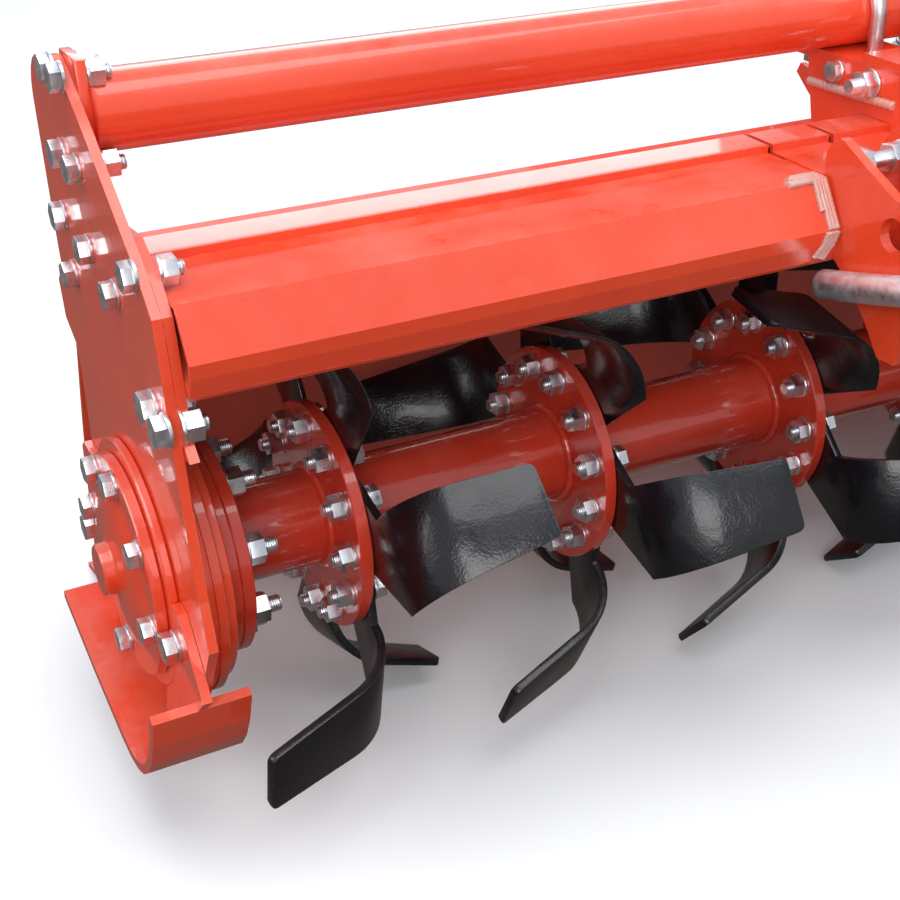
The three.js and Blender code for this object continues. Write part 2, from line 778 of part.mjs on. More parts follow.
function gearboxRearCover() {
  const { back, half, bottom, top } = gearbox;
  const h = half - 12;
  const outline = [
    [-h, bottom + 40],
    [-h + 16, bottom + 24],
    [h - 16, bottom + 24],
    [h, bottom + 40],
    [h, top - 60],
    [h - 16, top - 44],
    [-h + 16, top - 44],
    [-h, top - 60],
  ];
  return piece("gearbox_rear_cover", wall(outline, back + gap, back + gap + 12), redPaint);
}

const inputCover = gearbox.front - gap;
const neckRadius = 38;
const inputBearingCover = piece(
  "input_bearing_cover",
  turnedAlongY(
    [
      [shaftRadius + play, inputCover],
      [62, inputCover],
      [62, inputCover - 12],
      [44, inputCover - 14],
      [neckRadius, inputCover - 20],
      [neckRadius, inputCover - 34],
      [shaftRadius + play, inputCover - 34],
      [shaftRadius + play, inputCover],
    ],
    tube.z,
  ),
  redPaint,
);

const ptoShield = piece(
  "pto_shield",
  turnedAlongY(
    [
      [neckRadius + gap, -38],
      [44, -38],
      [70, -54],
      [70, -150],
      [66, -150],
      [66, -56],
      [neckRadius + gap, -43],
      [neckRadius + gap, -38],
    ],
    tube.z,
    28,
  ),
  blackPaint,
);

const inputShaft = piece(
  "input_shaft",
  turnedAlongY(
    [
      [0, gearbox.front + 24],
      [shaftRadius, gearbox.front + 24],
      [shaftRadius, -138],
      [shaftRadius - 3, -142],
      [0, -142],
    ],
    tube.z,
    24,
  ),
  bareSteel,
);

// Trailing board and its spring rods

function trailingBoard() {
  const edge = hoodEnd - 6;
  const line = [
    [258, 112],
    [272, 60],
    [288, 0],
    [302, -60],
    [315, -130],
    [328, ground + 34],
    [346, ground + 8],
    [380, ground],
  ];
  const skin = plate(folded(line, boardSheet), -edge, edge);
  const barrels = knucklePlaces.slice(1).map((x) => {
    const [x0, x1] = [x - knuckleEvery + knuckle.width / 2 + 2, x - knuckle.width / 2 - 2];
    const round = pipe(knuckle.radius - 2, hinge.radius + play, x0, x1, hinge, 20);
    const web = plate([[244, 106], [260, 108], [264, 92], [258, 92]], x0, x1);
    return join(round, cut(web, disc(hinge.radius + play, x0 - 1, x1 + 1, hinge, 20)));
  });
  const eyes = bothEnds((_, side) => {
    const x = side * rodOffset;
    const { eyeY: y, eyeZ: z } = boardSwing;
    const cheeks = [-1, 1].map((s) => {
      const [x0, x1] = span(s, 12, 20);
      const round = arc({ y, z }, 16, -70, 110, 5);
      return plate([[292, -8], [308, -78], [y - 4, z - 17], ...round, [296, 10]], x + x0, x + x1);
    });
    const pin = disc(rodRadius, x - 20, x + 20, { y, z }, 14);
    return join(...cheeks, pin);
  });
  return piece("trailing_board", join(skin, ...barrels, ...eyes), redPaint);
}

const rodDirection = [Math.cos(rodAngle), Math.sin(rodAngle)];
const rodPoint = (x, along) => [
  x,
  boardSwing.eyeY + rodDirection[0] * along,
  boardSwing.eyeZ + rodDirection[1] * along,
];
const guideReach = Math.hypot(rodGuide.y - boardSwing.eyeY, rodGuide.z - boardSwing.eyeZ);
const washerStart = guideReach + guidePin.radius + springLift;
const washer = 5;

function springRod(end, side) {
  const x = side * rodOffset;
  const eyeCentre = { y: boardSwing.eyeY, z: boardSwing.eyeZ };
  const eye = disc(17, x - 9, x + 9, eyeCentre, 20);
  const top = washerStart + 2 * washer + springLength + 2 * gap;
  const body = join(
    eye,
    rod(rodPoint(x, 10), rodPoint(x, top + 22), rodRadius, 14),
    rod(rodPoint(x, washerStart), rodPoint(x, washerStart + washer), springRadius + 3, 20),
    rod(rodPoint(x, top - washer), rodPoint(x, top), springRadius + 3, 20),
    rod(rodPoint(x, top), rodPoint(x, top + 14), 13, 6),
  );
  const bore = disc(rodRadius + play, x - 30, x + 30, eyeCentre, 20);
  return piece(`spring_rod_${end}`, cut(body, bore), zincPlate);
}

function rodSpring(end, side) {
  const x = side * rodOffset;
  const [low, high] = [washerStart + washer + gap, washerStart + washer + gap + springLength];
  const body = cut(
    rod(rodPoint(x, low), rodPoint(x, high), springRadius, 20),
    rod(rodPoint(x, low - 5), rodPoint(x, high + 5), rodRadius + gap, 20),
  );
  return piece(`rod_spring_${end}`, body, bareSteel);
}

// The machine, set down on the ground with its outline's middle at the origin

const machine = new THREE.Group();
machine.add(
  rotor,
  ...bothEnds(sidePlate),
  ...bothEnds(hoodEndPlate),
  hoodShell(),
  ...deckBeams,
  rearRail(),
  hingeRod,
  ...bothEnds(mainTube),
  ...bothEnds(bearingSeal),
  bearingHousing,
  bearingCover(),
  sideGearCase(),
  sideCaseCover(),
  ...bothEnds(skid),
  ...bothEnds(hitchLug),
  ...bothEnds(mastBracket),
  ...bothEnds(uBolt),
  mast(),
  topLinkPin,
  ...bothEnds(mastBrace),
  guardHoop(),
  gearboxBody(),
  gearboxRearCover(),
  inputBearingCover,
  ptoShield,
  inputShaft,
  trailingBoard(),
  ...bothEnds(springRod),
  ...bothEnds(rodSpring),
);
const outer = new THREE.Box3().setFromObject(machine);
const middle = outer.getCenter(new THREE.Vector3());
machine.position.set(-middle.x, -middle.y, -outer.min.z);

export default machine;
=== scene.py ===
import json
import math
import bmesh
import bpy
from mathutils import Matrix, Vector


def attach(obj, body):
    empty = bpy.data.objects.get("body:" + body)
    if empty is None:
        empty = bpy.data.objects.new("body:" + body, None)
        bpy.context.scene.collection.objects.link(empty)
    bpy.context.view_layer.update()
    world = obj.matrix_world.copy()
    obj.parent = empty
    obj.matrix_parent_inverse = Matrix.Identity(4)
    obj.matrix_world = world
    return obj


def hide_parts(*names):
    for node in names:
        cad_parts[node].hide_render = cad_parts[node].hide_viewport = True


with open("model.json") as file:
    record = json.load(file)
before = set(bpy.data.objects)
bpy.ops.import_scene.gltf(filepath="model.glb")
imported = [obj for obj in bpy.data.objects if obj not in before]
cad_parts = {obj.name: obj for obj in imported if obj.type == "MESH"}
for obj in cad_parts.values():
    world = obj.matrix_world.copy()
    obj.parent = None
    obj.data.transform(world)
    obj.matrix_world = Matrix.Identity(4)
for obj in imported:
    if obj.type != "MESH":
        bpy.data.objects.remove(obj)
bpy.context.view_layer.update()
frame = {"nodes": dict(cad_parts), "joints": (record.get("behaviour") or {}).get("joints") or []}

nodes = frame["nodes"]
joints = {joint["name"]: joint for joint in frame["joints"]}
rotorAxis = Vector(joints["rotor_spin"]["pos_m"])  # x here is the middle of the machine
mm = 0.001


def place(x, y, z):
    return rotorAxis + Vector((x, y, z)) * mm


# Materials

def newGroup(name, inputs, outputs):
    group = bpy.data.node_groups.new(name, "ShaderNodeTree")
    for label, kind, value in inputs:
        socket = group.interface.new_socket(label, in_out="INPUT", socket_type=kind)
        socket.default_value = value
    for label, kind in outputs:
        group.interface.new_socket(label, in_out="OUTPUT", socket_type=kind)
    return group, group.nodes.new("NodeGroupInput"), group.nodes.new("NodeGroupOutput")


def addNode(tree, kind, links=(), **values):
    node = tree.nodes.new("ShaderNode" + kind)
    for key, value in values.items():
        if key in node.inputs:
            node.inputs[key].default_value = value
        else:
            setattr(node, key, value)
    for key, source in dict(links).items():
        tree.links.new(source, node.inputs[key])
    return node


def ramp(tree, source, low, high, fromColor=(0, 0, 0, 1), toColor=(1, 1, 1, 1)):
    node = tree.nodes.new("ShaderNodeValToRGB")
    node.color_ramp.elements[0].position = low
    node.color_ramp.elements[0].color = fromColor
    node.color_ramp.elements[1].position = high
    node.color_ramp.elements[1].color = toColor
    tree.links.new(source, node.inputs["Fac"])
    return node


# Where a colour Mix node has its sockets.
mixSockets = {"factor": 0, "first": 6, "second": 7, "result": 2}


def mixColor(tree, factor, first, second):
    node = tree.nodes.new("ShaderNodeMix")
    node.data_type = "RGBA"
    for key, value in (("factor", factor), ("first", first), ("second", second)):
        socket = node.inputs[mixSockets[key]]
        if isinstance(value, bpy.types.NodeSocket):
            tree.links.new(value, socket)
        else:
            socket.default_value = value
    return node.outputs[mixSockets["result"]]


def noise(tree, vector, scale, detail=4.0, roughness=0.55):
    return addNode(
        tree, "TexNoise", {"Vector": vector}, Scale=scale, Detail=detail, Roughness=roughness
    ).outputs["Fac"]


# Orange peel and small sags of sprayed paint, as a height.
def makeOrangePeel():
    group, start, end = newGroup(
        "orangePeel",
        [
            ("Vector", "NodeSocketVector", (0, 0, 0)), ("Peel Scale", "NodeSocketFloat", 420.0),
            ("Sag Scale", "NodeSocketFloat", 22.0),
        ],
        [("Height", "NodeSocketFloat")],
    )
    peel = addNode(
        group,
        "TexNoise",
        {"Vector": start.outputs["Vector"], "Scale": start.outputs["Peel Scale"]},
        Detail=2.0,
    )
    sag = addNode(
        group,
        "TexNoise",
        {"Vector": start.outputs["Vector"], "Scale": start.outputs["Sag Scale"]},
        Detail=3.0,
    )
    more = addNode(group, "Math", {0: sag.outputs["Fac"]}, operation="MULTIPLY")
    more.inputs[1].default_value = 6.0
    both = addNode(group, "Math", {0: peel.outputs["Fac"], 1: more.outputs[0]}, operation="ADD")
    group.links.new(both.outputs[0], end.inputs["Height"])
    return group


# Where a surface turns sharply, as a mask broken up by noise: paint chipped at the edges, and partly a
# painted highlight along them.
def makeEdgeWearAndHighlight():
    group, start, end = newGroup(
        "edgeWearAndHighlight",
        [
            ("Vector", "NodeSocketVector", (0, 0, 0)), ("Width", "NodeSocketFloat", 0.0012),
            ("Breakup", "NodeSocketFloat", 60.0),
        ],
        [("Mask", "NodeSocketFloat")],
    )
    bevel = addNode(group, "Bevel", {"Radius": start.outputs["Width"]}, samples=4)
    geometry = group.nodes.new("ShaderNodeNewGeometry")
    dot = addNode(
        group,
        "VectorMath",
        {0: bevel.outputs["Normal"], 1: geometry.outputs["Normal"]},
        operation="DOT_PRODUCT",
    )
    edge = ramp(group, dot.outputs["Value"], 0.86, 0.99, (1, 1, 1, 1), (0, 0, 0, 1))
    breakup = addNode(
        group,
        "TexNoise",
        {"Vector": start.outputs["Vector"], "Scale": start.outputs["Breakup"]},
        Detail=5.0,
    )
    chipAndHighlightBreakup = ramp(group, breakup.outputs["Fac"], 0.5, 0.62)
    mask = addNode(
        group, "Math", {0: edge.outputs["Color"], 1: chipAndHighlightBreakup.outputs["Color"]}, operation="MULTIPLY"
    )
    group.links.new(mask.outputs[0], end.inputs["Mask"])
    return group


# Dust that lies on what faces up, as a mask.
def makeDust():
    group, start, end = newGroup(
        "dust",
        [("Vector", "NodeSocketVector", (0, 0, 0)), ("Scale", "NodeSocketFloat", 9.0)],
        [("Mask", "NodeSocketFloat")],
    )
    geometry = group.nodes.new("ShaderNodeNewGeometry")
    split = addNode(group, "SeparateXYZ", {"Vector": geometry.outputs["Normal"]})
    up = ramp(group, split.outputs["Z"], 0.35, 1.0)
    spread = addNode(
        group,
        "TexNoise",
        {"Vector": start.outputs["Vector"], "Scale": start.outputs["Scale"]},
        Detail=6.0,
        Roughness=0.65,
    )
    patches = ramp(group, spread.outputs["Fac"], 0.4, 0.7)
    mask = addNode(
        group, "Math", {0: up.outputs["Color"], 1: patches.outputs["Color"]}, operation="MULTIPLY"
    )
    group.links.new(mask.outputs[0], end.inputs["Mask"])
    return group


orangePeel = makeOrangePeel()
edgeWearAndHighlight = makeEdgeWearAndHighlight()
dust = makeDust()


def useGroup(tree, group, vector, **values):
    node = tree.nodes.new("ShaderNodeGroup")
    node.node_tree = group
    tree.links.new(vector, node.inputs["Vector"])
    for key, value in values.items():
        node.inputs[key.replace("_", " ")].default_value = value
    return node.outputs[0]


def newMaterial(name, **constants):
    material = bpy.data.materials.new(name)
    material.use_nodes = True
    tree = material.node_tree
    shader = tree.nodes["Principled BSDF"]
    for key, value in constants.items():
        shader.inputs[key.replace("_", " ")].default_value = value
    vector = tree.nodes.new("ShaderNodeTexCoord").outputs["Object"]
    return material, tree, shader, vector


def addBump(tree, shader, height, strength, distance):
    bump = addNode(tree, "Bump", {"Height": height}, Strength=strength, Distance=distance)
    tree.links.new(bump.outputs["Normal"], shader.inputs["Normal"])


# Sprayed gloss paint over steel.
# The edge colour stands for chipped paint and also for a painted highlight along sharp edges.
def paintMaterial(name, color, shade, chipAndHighlight, gloss, peel, dustShare=0.25, chipAndHighlightShare=0.5, coat=0.9):
    material, tree, shader, vector = newMaterial(name, Coat_Weight=coat, Coat_Roughness=0.05, IOR=1.5)
    cloud = ramp(tree, noise(tree, vector, 5.0, 5.0), 0.35, 0.7)
    body = mixColor(tree, cloud.outputs["Color"], (*color, 1), (*shade, 1))
    dustMask = useGroup(tree, dust, vector, Scale=11.0)
    faint = addNode(tree, "Math", {0: dustMask}, operation="MULTIPLY")
    faint.inputs[1].default_value = dustShare
    dusty = mixColor(tree, faint.outputs[0], body, (0.62, 0.42, 0.34, 1))
    # Edges take the lighter edge colour: worn chips, and partly a painted highlight where light would
    # catch them.
    wearAndHighlight = addNode(tree, "Math", {0: useGroup(tree, edgeWearAndHighlight, vector)}, operation="MULTIPLY")
    wearAndHighlight.inputs[1].default_value = chipAndHighlightShare
    tree.links.new(mixColor(tree, wearAndHighlight.outputs[0], dusty, (*chipAndHighlight, 1)), shader.inputs["Base Color"])
    smudge = ramp(
        tree, noise(tree, vector, 14.0, 6.0), 0.3, 0.75, (gloss,) * 3 + (1,), (gloss + 0.2,) * 3 + (1,)
    )
    rough = addNode(tree, "Math", {0: smudge.outputs["Color"], 1: faint.outputs[0]}, operation="ADD")
    tree.links.new(rough.outputs[0], shader.inputs["Roughness"])
    addBump(tree, shader, useGroup(tree, orangePeel, vector), peel, 0.0006)
    return material


# Plated or bare steel, with fine marks and dull patches.
def steelMaterial(name, color, dull, gloss, marks):
    material, tree, shader, vector = newMaterial(name, Metallic=1.0)
    patch = ramp(tree, noise(tree, vector, 60.0, 6.0), 0.4, 0.7)
    tree.links.new(
        mixColor(tree, patch.outputs["Color"], (*color, 1), (*dull, 1)), shader.inputs["Base Color"]
    )
    rough = ramp(
        tree, noise(tree, vector, 130.0, 4.0), 0.3, 0.8, (gloss,) * 3 + (1,), (gloss + 0.22,) * 3 + (1,)
    )
    tree.links.new(rough.outputs["Color"], shader.inputs["Roughness"])
    addBump(tree, shader, noise(tree, vector, 900.0, 2.0), marks, 0.0004)
    return material


redPaint = paintMaterial(
    "orange_red_paint", (0.86, 0.075, 0.022), (0.78, 0.058, 0.018), (0.86, 0.30, 0.20), 0.2, 0.22
)
rotorPaint = paintMaterial(
    "rotor_red_paint", (0.66, 0.048, 0.02), (0.5, 0.03, 0.014), (0.62, 0.15, 0.1), 0.16, 0.4, 0.1
)
bladePaint = paintMaterial(
    "black_blade_paint", (0.004, 0.004, 0.006), (0.007, 0.007, 0.01), (0.12, 0.11, 0.11), 0.16, 0.5,
    0.03, 0.35, coat=0.2,
)
blackPlastic = paintMaterial(
    "black_plastic", (0.02, 0.02, 0.02), (0.03, 0.03, 0.03), (0.06, 0.06, 0.06), 0.42, 0.2, 0.2, 0.2
)
zincPlate = steelMaterial("zinc_plate", (0.88, 0.89, 0.92), (0.66, 0.67, 0.70), 0.24, 0.25)
tubeZinc = steelMaterial("galvanised_tube", (0.86, 0.88, 0.90), (0.70, 0.73, 0.76), 0.38, 0.4)
bareSteel = steelMaterial("bare_steel", (0.42, 0.41, 0.40), (0.24, 0.22, 0.21), 0.3, 0.4)
weldMetal = paintMaterial(
    "weld_spatter", (0.62, 0.46, 0.42), (0.70, 0.20, 0.13), (0.75, 0.72, 0.70), 0.3, 1.0, 0.2, 0.9
)
print("materials made")


# Pieces are made in millimetres from the rotor's axis, with x from the middle of the machine.


def finishPiece(name, bm, material, body, replaced=(), sharp=32):
    bmesh.ops.remove_doubles(bm, verts=bm.verts, dist=1e-4)
    bmesh.ops.recalc_face_normals(bm, faces=bm.faces)
    for face in bm.faces:
        face.smooth = True
    limit = math.radians(sharp)
    for edge in bm.edges:
        edge.smooth = len(edge.link_faces) == 2 and edge.calc_face_angle(0) < limit
    bmesh.ops.transform(bm, matrix=Matrix.Translation(rotorAxis) @ Matrix.Scale(mm, 4), verts=bm.verts)
    mesh = bpy.data.meshes.new(name)
    bm.to_mesh(mesh)
    bm.free()
    piece = bpy.data.objects.new(name, mesh)
    bpy.context.scene.collection.objects.link(piece)
    mesh.materials.append(material)
    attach(piece, body)
    if replaced:
        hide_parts(*replaced)


# A closed profile of (radius, x) turned about a line along X.
def turn(bm, profile, centre=(0, 0), segments=96):
    verts = [bm.verts.new((x, centre[0], centre[1] + radius)) for radius, x in profile]
    edges = [bm.edges.new(pair) for pair in zip(verts, verts[1:])]
    bmesh.ops.spin(bm, geom=verts + edges, axis=(1, 0, 0), cent=(0, *centre), dvec=(0, 0, 0),
                   angle=math.tau, steps=segments, use_merge=True, use_duplicate=False)


# A flat plate from an outline of (y, z), with its edges eased.
def slab(bm, outline, x0, x1, ease):
    face = bm.faces.new([bm.verts.new((x0, y, z)) for y, z in outline])
    made = bmesh.ops.extrude_face_region(bm, geom=[face])["geom"]
    top = [v for v in made if isinstance(v, bmesh.types.BMVert)]
    bmesh.ops.translate(bm, vec=(x1 - x0, 0, 0), verts=top)
    edges = {e for v in top for e in v.link_edges} | {e for v in face.verts for e in v.link_edges}
    bmesh.ops.bevel(
        bm, geom=list(edges), offset=ease, segments=2, profile=0.5, affect="EDGES", material=-1
    )


def onCircle(radius, angle, centre=(0, 0)):
    return centre[0] + radius * math.cos(angle), centre[1] + radius * math.sin(angle)


def arcPoints(radius, start, stop, steps, centre=(0, 0)):
    angles = [math.radians(start + (stop - start) * i / steps) for i in range(steps + 1)]
    return [onCircle(radius, angle, centre) for angle in angles]


# A template is a mesh along +X from x 0, copied to a place and turned towards a direction.
def template(build):
    bm = bmesh.new()
    build(bm)
    bmesh.ops.remove_doubles(bm, verts=bm.verts, dist=1e-4)
    bmesh.ops.recalc_face_normals(bm, faces=bm.faces)
    mesh = bpy.data.meshes.new("template")
    bm.to_mesh(mesh)
    bm.free()
    return mesh


def putTemplate(bm, mesh, spot, towards, spin):
    before = len(bm.verts)
    bm.from_mesh(mesh)
    bm.verts.ensure_lookup_table()
    turned = Vector((1, 0, 0)).rotation_difference(Vector(towards)).to_matrix().to_4x4()
    matrix = Matrix.Translation(spot) @ turned @ Matrix.Rotation(spin, 4, "X")
    bmesh.ops.transform(bm, matrix=matrix, verts=bm.verts[before:])


def hexPrism(bm, across, x0, x1, chamfer=1.0):
    made = bmesh.ops.create_cone(
        bm,
        cap_ends=True,
        segments=6,
        radius1=across / math.sqrt(3),
        radius2=across / math.sqrt(3),
        depth=x1 - x0,
        matrix=Matrix.Translation(((x0 + x1) / 2, 0, 0)) @ Matrix.Rotation(math.pi / 2, 4, "Y"),
    )
    ends = [
        e for v in made["verts"] for e in v.link_edges if abs(e.verts[0].co.x - e.verts[1].co.x) < 1e-4
    ]
    bmesh.ops.bevel(
        bm, geom=list(set(ends)), offset=chamfer, segments=2, profile=0.6, affect="EDGES", material=-1
    )


def threadProfile(radius, x0, x1, pitch=2.0):
    depth = pitch * 0.55
    points = [(0, x0), (radius - depth, x0)]
    x = x0
    while x + pitch <= x1:
        points += [(radius, x + pitch / 2), (radius - depth, x + pitch)]
        x += pitch
    return points + [(radius - depth, x1), (0, x1)]


boltSegments = 20


# Head or nut of one bolt size, with its washer, and the thread that stands out of a nut.
def boltEnd(across, height, washer, thread=0.0):
    def build(bm):
        radius = across / 2.0
        rim, top = radius * 1.2, washer + height
        plate = [
            (0, 0), (radius * 1.18, 0), (rim, washer * 0.2), (rim, washer * 0.8),
            (radius * 1.16, washer), (0, washer),
        ]
        turn(bm, plate, segments=boltSegments)
        hexPrism(bm, across, washer, top, across * 0.045)
        if thread:
            turn(bm, threadProfile(across * 0.31, top - 0.5, top + thread), segments=boltSegments)
    return template(build)


headM14 = boltEnd(21, 9, 2.6)
nutM14 = boltEnd(21, 12, 2.6, 6)
headM16 = boltEnd(24, 10, 3)
nutM16 = boltEnd(24, 14, 3, 12)
headM12 = boltEnd(18, 8, 2.4)
shortNut = boltEnd(24, 14, 3, 5)  # where a blade sweeps close by


def boltGroup(name, body, places):
    bm = bmesh.new()
    for index, (mesh, spot, towards) in enumerate(places):
        putTemplate(bm, mesh, spot, towards, spin=index * 0.7)
    finishPiece(name, bm, zincPlate, body)


# A bead of weld along a line of points: short overlapping ripples.
def weldBead(bm, points, radius, ripple=None, closed=False):
    ripple = ripple or radius * 0.5
    sides = 10
    path = [Vector(p) for p in points]
    if closed:
        path.append(path[0])
    spots = []
    for a, b in zip(path, path[1:]):
        count = max(1, round((b - a).length / ripple))
        spots += [(a.lerp(b, i / count), (b - a).normalized()) for i in range(count)]
    sections = []
    for index, (spot, along) in enumerate(spots):
        size = radius * (1.0 + 0.1 * math.sin(index * 2.1) + (0.12 if index % 2 else 0.0))
        turned = Vector((0, 0, 1)).rotation_difference(along).to_matrix().to_4x4()
        ring = bmesh.ops.create_circle(
            bm, segments=sides, radius=size, matrix=Matrix.Translation(spot) @ turned
        )["verts"]
        sections.append(ring)
    pairs = list(zip(sections, sections[1:])) + ([(sections[-1], sections[0])] if closed else [])
    for first, second in pairs:
        edges = [bm.edges.get((r[i], r[(i + 1) % sides])) for r in (first, second) for i in range(sides)]
        bmesh.ops.bridge_loops(bm, edges=[e for e in edges if e])
    if not closed:
        for ring in (sections[0], sections[-1]):
            bm.faces.new(ring)


def weldPiece(name, body, runs, radius, material):
    bm = bmesh.new()
    for run in runs:
        weldBead(bm, run, radius)
    finishPiece(name, bm, material, body, sharp=60)


def circlePoints(x, radius, count):
    return [(x, y, z) for y, z in arcPoints(radius, 0, 360, count)[:-1]]


# CAD nodes that keep their shape, with their edges eased

bothSides = ("left", "right")
pairedNodes = [
    "side_plate", "hood_end_plate", "deck_beam", "skid", "hitch_lug", "mast_bracket", "mast_brace",
]
plainNodes = {
    redPaint: [
        "deck_beam_middle", "rear_rail", "mast", "side_gear_case", "side_case_cover", "gearbox",
        "gearbox_rear_cover", "input_bearing_cover", "trailing_board", "hood_shell",
        *(name + "_" + side for name in pairedNodes for side in bothSides),
    ],
    blackPlastic: ["pto_shield"],
    zincPlate: ["hinge_rod", "top_link_pin", "spring_rod_left", "spring_rod_right"],
    bareSteel: ["input_shaft"],
}
easing = {"width": 0.0011, "segments": 2, "sharperThan": math.radians(35)}
for material, names in plainNodes.items():
    for name in names:
        node = nodes[name]
        node.data.materials.clear()
        node.data.materials.append(material)
        ease = node.modifiers.new("ease", "BEVEL")
        ease.width = easing["width"]
        ease.segments = easing["segments"]
        ease.limit_method = "ANGLE"
        ease.angle_limit = easing["sharperThan"]

print("frame finished")


def sideName(side):
    return "left" if side < 0 else "right"


# Rotor

flange = {
    "count": 8, "first": -875.0, "pitch": 250.0, "radius": 107.0, "bore": 44.9, "thickness": 12.0,
    "bolts": 12, "boltCircle": 88.0, "boltAngle": 26.0, "phase": 15.0,
}
blade = {
    "thickness": 8.0, "tip": 243.0, "tipWidth": 66.0, "bendWidth": 88.0, "stemWidth": 82.0,
    "bend": 70.0, "turn": math.radians(71), "lean": math.radians(25.5), "reach": {-1: 138.0, 1: 110.0},
    "root": 72.0, "grind": 12.0, "edge": 1.5, "first": 156.0, "count": 6, "corner": 7.0, "ease": 0.9,
}


def makeDisc(number):
    near = flange["first"] + flange["pitch"] * number
    far = near + flange["thickness"]
    bore, rim = flange["bore"], flange["radius"]
    bm = bmesh.new()
    turn(
        bm,
        [
            (bore, near), (rim - 1, near), (rim, near + 1), (rim, far - 1), (rim - 1, far),
            (bore, far), (bore, near),
        ],
        segments=128,
    )
    finishPiece("flange_disc_%d" % (number + 1), bm, rotorPaint, "rotor")


# One blade in its own frame: x along the rotor, y outwards and z forwards. The section is spun round the
# bend, drawn on into the leg, and drawn back into the stem.
def makeBlade(side):
    half, lean, angle = blade["thickness"] / 2, blade["lean"], blade["turn"]
    wide = Vector((0, math.sin(lean), math.cos(lean)))
    stem = Vector((0, math.cos(lean), -math.sin(lean)))
    reach = blade["reach"][side]
    bendReach = blade["bend"] * (1 - math.cos(angle))
    height = blade["bend"] * math.sin(angle) + (reach - bendReach) / math.tan(angle)
    tipOut = math.sqrt(blade["tip"] ** 2 - (wide.z * blade["tipWidth"]) ** 2 / 4) - half * stem.y
    start = Vector((0, tipOut - blade["tipWidth"] / 2 * wide.y - height * stem.y, -height * stem.z))
    wideHalf = blade["bendWidth"] / 2
    section = [
        (-wideHalf, -half), (wideHalf, -half), (wideHalf, blade["edge"] - half),
        (wideHalf - blade["grind"], half), (-wideHalf, half),
    ]

    bm = bmesh.new()
    ring = [bm.verts.new(start + wide * along + Vector((off, 0, 0))) for along, off in section]
    face = bm.faces.new(ring)
    spun = bmesh.ops.spin(
        bm,
        geom=[face],
        cent=start + Vector((blade["bend"], 0, 0)),
        axis=-wide,
        dvec=(0, 0, 0),
        angle=angle,
        steps=12,
        use_merge=False,
        use_duplicate=False,
    )["geom_last"]
    end = [f for f in spun if isinstance(f, bmesh.types.BMFace)]
    leg = Vector((math.sin(angle), 0, 0)) + stem * math.cos(angle)
    length = (reach - bendReach) / math.sin(angle)
    drawn = bmesh.ops.extrude_face_region(bm, geom=end)["geom"]
    tipVerts = [v for v in drawn if isinstance(v, bmesh.types.BMVert)]
    bmesh.ops.translate(bm, vec=leg * length, verts=tipVerts)
    bmesh.ops.delete(bm, geom=end, context="FACES_ONLY")

    # The width tapers from the bend to the tip.
    for v in bm.verts:
        share = max(0.0, min(1.0, v.co.x / reach))
        along = (v.co - start).dot(wide)
        v.co += wide * along * share * (blade["tipWidth"] / blade["bendWidth"] - 1)

    # The stem runs back to its bolts, where the section lies square to the radius.
    rootHalf = blade["stemWidth"] / 2
    rootRing = [
        bm.verts.new(Vector((off, blade["root"], along * rootHalf / wideHalf)))
        for along, off in section
    ]
    rootPairs = list(zip(rootRing, rootRing[1:] + rootRing[:1]))
    startPairs = list(zip(ring, ring[1:] + ring[:1]))
    for pair in rootPairs:
        bm.edges.new(pair)
    bmesh.ops.bridge_loops(bm, edges=[bm.edges.get(pair) for pair in rootPairs + startPairs])
    bm.faces.new(rootRing)
    if face.is_valid:
        bmesh.ops.delete(bm, geom=[face], context="FACES_ONLY")
    bmesh.ops.remove_doubles(bm, verts=bm.verts, dist=1e-4)
    bmesh.ops.recalc_face_normals(bm, faces=bm.faces)
    tipEdges = [e for e in bm.edges if e.verts[0] in tipVerts and e.verts[1] in tipVerts]
    corners = [
        e for e in tipEdges
        if abs((e.verts[1].co - e.verts[0].co).dot(wide)) < 1.0 and e.calc_length() > blade["edge"] / 2
    ]
    bmesh.ops.bevel(
        bm, geom=corners, offset=blade["corner"], segments=4, profile=0.5, affect="EDGES", material=-1
    )
    hard = [e for e in bm.edges if len(e.link_faces) == 2 and e.calc_face_angle(0) > math.radians(40)]
    bmesh.ops.bevel(
        bm,
        geom=hard,
        offset=blade["ease"],
        segments=2,
        profile=0.5,
        affect="EDGES",
        clamp_overlap=True,
        material=-1,
    )
    if side < 0:
        bmesh.ops.scale(bm, vec=(-1, 1, 1), verts=bm.verts)
        bmesh.ops.reverse_faces(bm, faces=bm.faces)
    mesh = bpy.data.meshes.new("template")
    bm.to_mesh(mesh)
    bm.free()
    return mesh


bladeMesh = {side: makeBlade(side) for side in (-1, 1)}


def makeBlades(number):
    face = flange["first"] + flange["pitch"] * number + flange["thickness"] + blade["thickness"] / 2
    bm = bmesh.new()
    for index in range(blade["count"]):
        before = len(bm.verts)
        bm.from_mesh(bladeMesh[-1 if index % 2 else 1])
        bm.verts.ensure_lookup_table()
        angle = math.radians(blade["first"] + flange["phase"] * number + 360 / blade["count"] * index)
        matrix = Matrix.Translation((face, 0, 0)) @ Matrix.Rotation(angle, 4, "X")
        bmesh.ops.transform(bm, matrix=matrix, verts=bm.verts[before:])
    name = "blade_flange_%d" % (number + 1)
    finishPiece("blades_%d" % (number + 1), bm, bladePaint, "rotor", [name])


